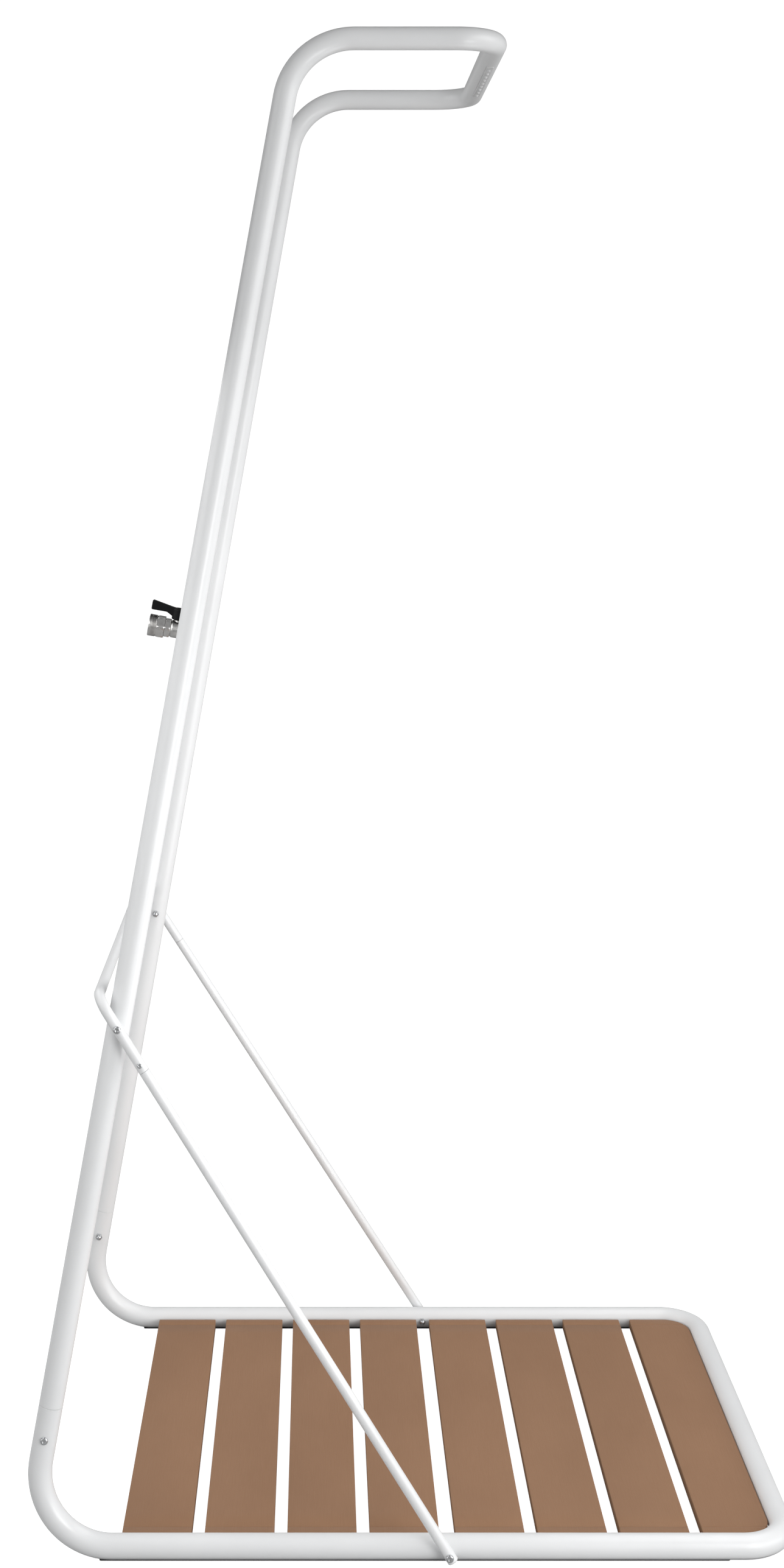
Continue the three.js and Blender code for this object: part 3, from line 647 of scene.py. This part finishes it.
def upper_frame():
    """The upper bent tube, with a slot for the spray strip in its front bar."""
    corners = [
        RIGHT.at_height(SEAM_Z) + RIGHT.along * (SEAM_GAP / 2),
        RIGHT.at_height(TOP_Z),
        Vector((TOP_FRONT_X, RIGHT.at_height(TOP_Z).y, TOP_Z)),
        Vector((TOP_FRONT_X, LEFT.at_height(TOP_Z).y, TOP_Z)),
        LEFT.at_height(TOP_Z),
        LEFT.at_height(SEAM_Z) + LEFT.along * (SEAM_GAP / 2),
    ]
    stations = bent_path(corners, [REAR_BEND, TOP_CORNER, TOP_CORNER, REAR_BEND])
    strip_low, strip_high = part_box("spray_strip")
    half_x = SPRAY_HALF_WIDTH + SEAM_GAP
    low = Vector((TOP_FRONT_X - half_x, strip_low.y - SEAM_GAP, TOP_Z - 20 * MM))
    high = Vector((TOP_FRONT_X + half_x, strip_high.y + SEAM_GAP, TOP_Z - SPRAY_HIGH))
    mesh = slotted(*hollow_tube(stations, TUBE_R, TUBE_WALL), low, high)
    finished("upper_tube", mesh, COAT, replaces="upper_frame")


def stays():
    """Both stays, and the yoke that joins them behind the uprights."""
    for (side_name, _), line in zip(SIDES, STAY_LINES):
        start = line.foot - line.along * STAY_END
        end = line.from_bolt(-STAY_SEAM) - line.along * (SEAM_GAP / 2)
        stations = bent_path([start, end], [])
        name = f"stay_{side_name}"
        made = hollow_tube(stations, ROD_R, ROD_WALL, 32)
        piece(f"{name}_tube", *made, COAT, "frame_coat", replaces=name)
    right, left = STAY_LINES
    corners = [
        right.from_bolt(-STAY_SEAM) + right.along * (SEAM_GAP / 2),
        right.from_bolt(YOKE_RISE),
        left.from_bolt(YOKE_RISE),
        left.from_bolt(-STAY_SEAM) + left.along * (SEAM_GAP / 2),
    ]
    made = hollow_tube(bent_path(corners, [YOKE_BEND, YOKE_BEND]), ROD_R, ROD_WALL, 32)
    piece("yoke_tube", *made, COAT, "frame_coat", replaces="stay_yoke")


def weld_bead(name, points, radius, closed=False):
    """A rounded bead along a line of points, with the small ripples of a run of weld."""
    count = len(points)
    stations = []
    for i, point in enumerate(points):
        before = points[i - 1] if closed or i else point
        after = points[(i + 1) % count] if closed or i < count - 1 else point
        stations.append((point, (after - before).normalized()))
    frames, sides, vertices = transported(stations), 12, []
    for i, (point, side, up) in enumerate(frames):
        r = radius * (1 + 0.10 * math.sin(i * 2.1))
        angles = (2 * math.pi * j / sides for j in range(sides))
        vertices += [point + side * (r * math.cos(a)) + up * (r * math.sin(a)) for a in angles]
    faces = ring_faces(count, sides) if closed else capped_faces(count, sides)
    piece(name, vertices, faces, COAT, "frame_coat", sharp_degrees=80)


def support_tabs():
    """Flat tabs welded to the underside of the side tubes, one under each end of each slat."""
    half_width = abs(RIGHT.at_height(BASE_Z).y)
    for number in range(1, SLATS + 1):
        low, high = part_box(f"slat_{number}")
        x = (low.x + high.x) / 2
        for side_name, side in SIDES:
            corner = 5 * MM
            outline = [(x - TAB_HALF_WIDTH, TAB_OUTER), (x + TAB_HALF_WIDTH, TAB_OUTER)]
            for turn in range(2):
                cx = x + (TAB_HALF_WIDTH - corner) * (1 if turn == 0 else -1)
                for i in range(6):
                    angle = math.pi / 2 * (turn + i / 5)
                    outline.append((cx + corner * math.cos(angle),
                                    TAB_INNER + corner * (1 - math.sin(angle))))
            outline = [Vector((px, py * side)) for px, py in outline]
            if side > 0:
                outline.reverse()
            name = f"slat_tab_{number}_{side_name}"
            piece(name, *rounded_slab(outline, TAB_LOW, TAB_HIGH, 0.4 * MM), COAT, "frame_coat")
            for label, z in (("top", TAB_HIGH), ("under", TAB_LOW)):
                y = half_width - math.sqrt(TUBE_R ** 2 - (BASE_Z - z) ** 2)
                steps = 28
                points = [Vector((x + TAB_HALF_WIDTH * (2 * i / steps - 1), side * y, z))
                          for i in range(steps + 1)]
                weld_bead(f"tab_weld_{number}_{side_name}_{label}", points, 1.3 * MM)


# ------------------------------------------------------------------ bolts, nuts and screws
def button_head(under, tip, shank, head, height, hexagon_corner):
    """A domed head with a hexagon socket on a plain shank, from the tip up."""
    profile = [(0, tip), (shank - 0.5, tip), (shank, tip + 0.5), (shank, under), (head - 0.4, under),
               (head, under + 0.4)]
    crown = 0.55 * head
    for i in range(9):
        angle = math.pi / 2 * i / 8
        profile.append((crown + (head - crown) * math.cos(angle),
                        under + 0.25 * height + 0.75 * height * math.sin(angle)))
    top, socket = under + height, hexagon(hexagon_corner)
    profile += [(hexagon_corner + 0.3, top), (hexagon_corner + 0.3, top - 0.05),
                (hexagon_corner, top - 0.3, socket), (hexagon_corner, top - 0.55 * height, socket),
                (0, top - 0.75 * height)]
    return profile


def cap_nut(face):
    """A domed hexagon nut whose flat side lies at `face`, with chamfered corners and a washer face."""
    flats = hexagon(NUT_CORNER)
    profile = [(0, face - 7), (3.25, face - 6.6), (3.25, face - 0.5), (3.7, face), (4.9, face),
               (4.9, face - 0.25), (5.2, face - 0.25, flats), (5.75, face - 0.65, flats),
               (5.75, face - 4.5, flats), (5.1, face - 5.0, flats), (4.5, face - 5.0), (4.5, face - 5.5)]
    for i in range(1, 11):
        angle = math.pi / 2 * i / 10
        profile.append((4.5 * math.cos(angle) if i < 10 else 0, face - 5.5 - 3.9 * math.sin(angle)))
    return profile


def fasteners():
    """Bolts and domed nuts at the joints, the yoke and the stays' feet, and the set screws."""
    face = -(TUBE_R / MM + 0.3)
    stacks = [("joint", joint_frame, TUBE_R / MM), ("yoke", yoke_bolt_frame, (ROD_OFFSET + ROD_R) / MM),
              ("foot", foot_bolt_frame, (ROD_OFFSET + ROD_R) / MM)]
    for (side_name, _), upright, line in zip(SIDES, UPRIGHTS, STAY_LINES):
        for label, frame_of, outside in stacks:
            matrix = frame_of(upright)
            bolt = turned(button_head(outside + 0.3, face - BOLT_TIP, **BOLT), matrix, TURNED_SIDES)
            piece(f"{label}_button_bolt_{side_name}", *bolt, STAINLESS, "stainless",
                  replaces=f"{label}_bolt_{side_name}")
            nut = turned(cap_nut(face), matrix, TURNED_SIDES)
            piece(f"{label}_domed_nut_{side_name}", *nut, STAINLESS, "stainless",
                  replaces=f"{label}_cap_nut_{side_name}")
        matrix = placement(line.from_bolt(-STAY_SCREW), line.outward, line.along)
        screw = turned(button_head(ROD_R / MM + 0.1, SET_SCREW_TIP, **SET_SCREW), matrix, TURNED_SIDES)
        piece(f"stay_screw_{side_name}", *screw, STAINLESS, "stainless",
              replaces=f"stay_set_screw_{side_name}")


def slat_screws():
    """Pan-head screws, driven up through the tabs, with a cross recess in the head underneath."""
    recess = cross_recess(2.4, 0.5)
    for number in range(1, SLATS + 1):
        for side_name, _ in SIDES:
            node = f"slat_screw_{number}_{side_name}"
            low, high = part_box(node)
            centre = (low + high) / 2
            head_low, under = low.z / MM, low.z / MM + 2.4
            profile = [(0, head_low + 1.7), (2.0, head_low + 1.5, recess), (2.4, head_low + 0.1, recess),
                       (2.7, head_low + 0.02), (3.1, head_low), (3.9, head_low + 0.25),
                       (4.4, head_low + 0.95), (4.5, under), (2.0, under), (2.0, high.z / MM - 1.5),
                       (0, high.z / MM)]
            matrix = Matrix.Translation((centre.x, centre.y, 0))
            screw = turned(profile, matrix, TURNED_SIDES)
            piece(f"pan_screw_{number}_{side_name}", *screw, STAINLESS, "stainless", replaces=node)


# ------------------------------------------------------------------ platform
def slats():
    for number in range(1, SLATS + 1):
        corner = SLAT_CORNER if number == SLATS else 0
        node = f"slat_{number}"
        board = slat_shape(*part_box(node), corner)
        piece(f"board_{number}", *board, COMPOSITE, "slat_composite", replaces=node, sharp_degrees=50)


def slat_shape(low, high, corner):
    """A board lofted along Y: rounded arrises, and a fine groove where each end cap begins."""
    edge, groove_at, groove = SLAT_EDGE, 21 * MM, 2.2 * MM
    ends = [(edge * (1 - math.cos(a)), edge * (1 - math.sin(a)))
            for a in (0, math.pi / 6, math.pi / 3, math.pi / 2)]
    ends += [(groove_at, 0), (groove_at + groove / 2, 0.8 * MM), (groove_at + groove, 0)]
    arc = [corner * (1 - math.cos(math.radians(a))) for a in range(0, 91, 6)] if corner else []
    ends += [(d, 0) for d in arc if d > edge * 1.5 and not groove_at - MM < d < groove_at + groove + MM]
    ends.sort()
    middle = (high.y - low.y) / 2
    runs = [middle * i / 6 for i in range(1, 6) if middle * i / 6 > ends[-1][0] + 5 * MM]
    half = ends + [(d, 0) for d in runs]
    stations = [(low.y + d, inset, d) for d, inset in half] + [((low.y + high.y) / 2, 0, middle)]
    stations += [(high.y - d, inset, d) for d, inset in reversed(half)]
    vertices, steps = [], 4
    for y, inset, d in stations:
        cut = corner - math.sqrt(corner ** 2 - (corner - d) ** 2) if d < corner else 0
        x_low, x_high = low.x + inset, high.x - inset - cut
        z_low, z_high = low.z + inset, high.z - inset
        radius = max(edge - inset, 0.15 * MM)
        corners = [(x_high, z_low, -1), (x_high, z_high, 0), (x_low, z_high, 1), (x_low, z_low, 2)]
        for cx, cz, quarter in corners:
            sx, sz = (1 if cx == x_high else -1), (1 if cz == z_high else -1)
            for i in range(steps + 1):
                angle = math.pi / 2 * (quarter + i / steps)
                vertices.append(Vector((cx - sx * radius + radius * math.cos(angle), y,
                                        cz - sz * radius + radius * math.sin(angle))))
    return vertices, capped_faces(len(stations), 4 * (steps + 1))


def floor_strips():
    """Rubber strips under the straight runs of the base tube, with a saddle on top for the tube."""
    half_width, steps = STRIP_HALF_WIDTH, 10

    def top_at(across):
        return BASE_Z - math.sqrt((TUBE_R + SEAM_GAP) ** 2 - across ** 2)

    section = [(-2.4 * MM, 0), (-1.8 * MM, 0.4 * MM), (-1.2 * MM, 0), (1.2 * MM, 0), (1.8 * MM, 0.4 * MM),
               (2.4 * MM, 0), (half_width - 0.4 * MM, 0), (half_width, 0.4 * MM),
               (half_width, top_at(half_width) - 0.4 * MM)]
    inner = half_width - 0.3 * MM
    saddle = [inner - 2 * inner * i / steps for i in range(steps + 1)]
    section += [(across, top_at(across)) for across in saddle]
    section += [(-half_width, top_at(half_width) - 0.4 * MM), (-half_width, 0.4 * MM),
                (0.4 * MM - half_width, 0)]
    for place in ("right", "left", "front"):
        node = f"floor_strip_{place}"
        low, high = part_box(node)
        centre = (low + high) / 2
        lengthwise, across = (Y, X) if place == "front" else (X, Y)
        half_length = (high - low).dot(lengthwise) / 2
        ends = [(0, 0.55), (0.5, 0.78), (1.3, 0.93), (2.5, 1.0)]
        stations = [(d * MM - half_length, squeeze) for d, squeeze in ends]
        stations += [(half_length * k, 1.0) for k in (-0.6, -0.2, 0.2, 0.6)]
        stations += [(half_length - d * MM, squeeze) for d, squeeze in reversed(ends)]
        vertices = []
        for along, squeeze in stations:
            origin = Vector((centre.x, centre.y, 0)) + lengthwise * along
            vertices += [origin + across * (u * squeeze) + Z * z for u, z in section]
        faces = capped_faces(len(stations), len(section))
        piece(f"tube_strip_{place}", vertices, faces, RUBBER, "strip_rubber", replaces=node)


def foot_plugs():
    """Rounded plugs in the open lower ends of the stays."""
    for (side_name, _), line in zip(SIDES, STAY_LINES):
        matrix = placement(line.foot - line.along * STAY_END, -line.along, line.outward)
        bore, rim = (ROD_R - ROD_WALL) / MM - 0.1, ROD_R / MM - 0.4
        profile = [(0, -6), (bore - 0.2, -6), (bore, -5.5), (bore, 0), (rim - 0.3, 0), (rim, 0.4)]
        for i in range(1, 9):
            angle = math.pi / 2 * i / 8
            profile.append((rim * math.cos(angle) if i < 8 else 0, 0.4 + 1.6 * math.sin(angle)))
        piece(f"stay_plug_{side_name}", *turned(profile, matrix, 40), WHITE_PLASTIC, "frame_coat")


# ------------------------------------------------------------------ water valve
def closed(profile):
    """A turned ring: the profile runs back to where it began."""
    return profile + [profile[0]]


def valve_boss():
    """The short socket that is welded to the back of the left upright, and its weld."""
    profile = closed([(9.9, 12), (9.9, 29.4), (10.5, 30), (13.3, 30), (14, 29.3), (14, 12)])
    piece("valve_boss", *turned(profile, VALVE_FRAME, 64), COAT, "frame_coat")
    tube, boss, steps = TUBE_R, 14.6 * MM, 96
    points = []
    for i in range(steps):
        angle = 2 * math.pi * i / steps
        across = boss * math.sin(angle)
        height = math.sqrt(tube ** 2 - across ** 2) + 0.2 * MM
        points.append(VALVE_FRAME @ Vector((boss * math.cos(angle), across, height)))
    weld_bead("valve_boss_weld", points, 1.7 * MM, closed=True)


def valve_body():
    """The nickel casting between its two hexagons, its bonnet and the seal of the stem."""
    inlet, outlet = hexagon(INLET_CORNER), hexagon(OUTLET_CORNER)
    profile = [(0, 18.4), (8.6, 18.4), (9.4, 19.2), (9.4, 29.4), (8.7, 29.8), (8.7, 30.4), (15.2, 30.4),
               (15.4, 30.4, inlet), (17, 31.3, inlet), (17, 38.1, inlet), (15.4, 39, inlet), (13.4, 39),
               (13.4, 40.2), (14.6, 40.6), (15.6, 41.6), (16, 43.2), (16, 58.6), (15.6, 60.6), (14.6, 62),
               (13.8, 62.4), (13.8, 63), (16.2, 63), (16.4, 63, outlet), (18, 63.9, outlet),
               (18, 72.1, outlet), (16.4, 73, outlet), (11.4, 73), (10.6, 72.2), (9.7, 71.6), (9.7, 66),
               (0, 66)]
    piece("valve_casting", *turned(profile, VALVE_FRAME, 144), NICKEL, "valve_nickel", replaces="valve_body")
    bonnet = [(0, 8), (9, 8), (9, 16.4), (8.6, 16.9), (5.2, 16.9), (4.6, 16.4), (4.6, 12), (0, 12)]
    piece("valve_bonnet", *turned(bonnet, STEM_FRAME, 64), NICKEL, "valve_nickel")
    seal = closed([(4.1, 13), (4.1, 16.1), (4.55, 16.1), (4.55, 13)])
    piece("stem_seal", *turned(seal, STEM_FRAME, 48), RUBBER, "strip_rubber")


def hose_connector():
    """A swivelling collar with hexagon flats, a knurled band and an open threaded socket."""
    flats = hexagon(COUPLING_CORNER)
    profile = [(0, 66.4), (9.1, 66.4), (9.1, 73.4), (19.0, 73.4), (19.2, 73.4, flats), (21, 74.4, flats),
               (21, 86, flats), (19.2, 87, flats), (18.7, 87), (18.3, 87.4), (18.3, 88), (18.9, 88.4)]
    for i in range(9):
        z = 89.2 + 0.9 * i
        profile += [(19.6, z - 0.2), (19.6, z + 0.15), (19.1, z + 0.4), (19.1, z + 0.5)]
    profile += [(19.6, 97.4), (19.6, 101), (19.3, 101.7), (18.6, 102), (14.4, 102), (13.4, 101.2)]
    for i in range(6):
        z = 100.4 - 1.8 * i
        profile += [(13.2, z), (13.2, z - 0.4), (13.75, z - 0.9), (13.75, z - 1.3)]
    profile += [(13.2, 89), (6.5, 89), (6.5, 76), (0, 76)]
    coupling = turned(profile, VALVE_FRAME, 144)
    piece("hose_coupling", *coupling, NICKEL, "valve_nickel", replaces="hose_connector")
    washer = closed([(7.4, 89), (7.4, 90.9), (7.8, 91.2), (12.6, 91.2), (13, 90.9), (13, 89)])
    piece("hose_washer", *turned(washer, VALVE_FRAME, 64), RUBBER, "strip_rubber")


def lever_shell():
    """Hub and arm of the lever, as one closed rough body in the valve's frame."""
    hub = filleted([(0, 17.5), (14, 17.5, 1.4), (14, 37.7, 2.2), (6.8, 37.7, 0.4), (6.8, 31), (0, 31)])
    bodies = [turned([tuple(point) for point in hub], STEM_FRAME, TURNED_SIDES)]
    side_line = [(56, 21.5, 0.1), (64.5, 23.2, 4), (74, 28.4, 8), (102.4, 28.4, 2.4), (102.4, 46, 2.6),
                 (66, 39.1, 14), (56, 37.6, 0.1)]
    outline = [tuple(point) for point in filleted([(56, 32)] + side_line + [(56, 32)], 6)[:-1]]
    edge, half_width = 2.4, 8.0
    rings, vertices = [], []
    for i in range(7):
        angle = math.pi * (i / 6 - 0.5)
        flank = 1 if i > 3 else -1 if i < 3 else 0
        rings.append((edge * (1 - math.cos(angle)), (half_width - edge) * flank + edge * math.sin(angle)))
    points = [Vector(p) for p in outline]
    count = len(points)
    for inset, across in rings:
        for i, point in enumerate(points):
            before, after = points[i - 1], points[(i + 1) % count]
            a, b = (point - before).normalized(), (after - point).normalized()
            total = Vector((a.y, -a.x)) + Vector((b.y, -b.x))
            shifted = point - total.normalized() * inset
            vertices.append(VALVE_FRAME @ (Vector((shifted.y, across, shifted.x)) * MM))
    bodies.append((vertices, capped_faces(len(rings), count)))
    return bodies


def joined_smooth(name, bodies, cell, smoothing):
    """One mesh from several closed bodies: melted together on a fine grid and then relaxed."""
    vertices, faces = [], []
    for made_vertices, made_faces in bodies:
        faces += [tuple(k + len(vertices) for k in f) for f in made_faces]
        vertices += made_vertices
    rough = bpy.data.meshes.new(name + "_rough")
    rough.from_pydata([tuple(v) for v in vertices], [], faces)
    bm = bmesh.new()
    bm.from_mesh(rough)
    bmesh.ops.remove_doubles(bm, verts=bm.verts, dist=1e-7)
    bmesh.ops.recalc_face_normals(bm, faces=bm.faces)
    bm.to_mesh(rough)
    bm.free()
    holder = bpy.data.objects.new(name + "_rough", rough)
    bpy.context.scene.collection.objects.link(holder)
    remesh = holder.modifiers.new("melt", "REMESH")
    remesh.mode, remesh.voxel_size = "VOXEL", cell
    relax = holder.modifiers.new("relax", "SMOOTH")
    relax.factor, relax.iterations = 0.5, smoothing
    melted = bpy.data.meshes.new_from_object(holder.evaluated_get(bpy.context.evaluated_depsgraph_get()))
    bpy.data.objects.remove(holder)
    bpy.data.meshes.remove(rough)
    return melted


def lever():
    """The lever with its nut and stem, which turn together."""
    mesh = joined_smooth("lever", lever_shell(), 0.55 * MM, 4)
    finished("lever_grip", mesh, BLACK, LEVER_BODY, "valve_lever", sharp_degrees=60)
    flats = hexagon(LEVER_NUT_CORNER)
    nut = closed([(3.1, 31.3), (4.9, 31.3), (5.1, 31.3, flats), (5.8, 31.7, flats), (5.8, 34.6, flats),
                  (5.1, 35, flats), (3.6, 35), (3.1, 34.6)])
    nut = turned(nut, STEM_FRAME, TURNED_SIDES)
    piece("lever_hex_nut", *nut, STAINLESS, "stainless", LEVER_BODY, "lever_nut")
    stem = [(0, 8.2), (2.4, 8.2), (2.6, 8.4), (2.6, 10.4), (3.6, 10.6), (4, 11), (4, 26.7), (3.7, 27),
            (2.9, 27), (2.9, 30.8)]
    for i in range(6):
        z = 31.0 + 0.7 * i
        stem += [(2.95, z), (2.65, z + 0.35)]
    stem += [(2.4, 35.3), (0, 35.4)]
    piece("stem_shaft", *turned(stem, STEM_FRAME, 48), STAINLESS, "stainless", LEVER_BODY, "valve_stem")


# ------------------------------------------------------------------ spray strip
def spray_strip():
    """The silicone strip in the overhead front bar, and its nozzles."""
    low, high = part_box("spray_strip")
    y_low, y_high = low.y, high.y
    bottom, top, half_width, edge = TOP_Z - SPRAY_LOW, TOP_Z - SPRAY_HIGH, SPRAY_HALF_WIDTH, 1.3 * MM
    section = [(half_width, top), (half_width, bottom + edge)]
    section += [(half_width - edge * (1 - math.cos(a)), bottom + edge * (1 - math.sin(a)))
                for a in (math.pi / 6, math.pi / 3, math.pi / 2)]
    section += [(-x, z) for x, z in reversed(section)]
    ends = [(0, 1.0), (0.25, 0.5), (0.8, 0.15), (1.5, 0)]
    stations = [(y_low + d * MM, inset * MM) for d, inset in ends]
    stations += [(y_high - d * MM, inset * MM) for d, inset in reversed(ends)]
    vertices = []
    for y, inset in stations:
        for x, z in section:
            squeeze = 1 - inset / half_width
            vertices.append(Vector((TOP_FRONT_X + x * squeeze, y, z + (inset if z < top else 0))))
    faces = capped_faces(len(stations), len(section))
    piece("spray_bar_strip", vertices, faces, SILICONE, "spray_silicone", replaces="spray_strip")
    profile = [(0, -19.6), (0.8, -19.8), (0.8, -21.3), (1.0, -21.5), (1.5, -21.5), (1.75, -21.2), (2.5, -19),
               (2.9, -18.5), (3.8, -18.15), (3.8, -17.6), (0, -17.6)]
    for i in range(SPRAY_NOZZLES):
        y = (i - (SPRAY_NOZZLES - 1) / 2) * SPRAY_PITCH
        matrix = Matrix.Translation((TOP_FRONT_X, (y_low + y_high) / 2 + y, TOP_Z))
        piece(f"nozzle_{i + 1}", *turned(profile, matrix, 40), SILICONE, "spray_silicone")


def hidden_parts():
    """The inner CAD parts are seen only through gaps, and keep their shape with a real material."""
    for label in ("joint_spigot", "stay_spigot"):
        for side_name, _ in SIDES:
            recoat(f"{label}_{side_name}", ALUMINIUM)
    recoat("valve_ball", NICKEL)


def recoat(node, material):
    """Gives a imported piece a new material."""
    mesh = bpy.data.objects[node].data
    mesh.materials.clear()
    mesh.materials.append(material)


# ------------------------------------------------------------------ assembly
camera()
floor()
studio()
base_frame()
support_tabs()
upper_frame()
stays()
foot_plugs()
fasteners()
slats()
slat_screws()
floor_strips()
valve_boss()
valve_body()
hose_connector()
lever()
spray_strip()
hidden_parts()
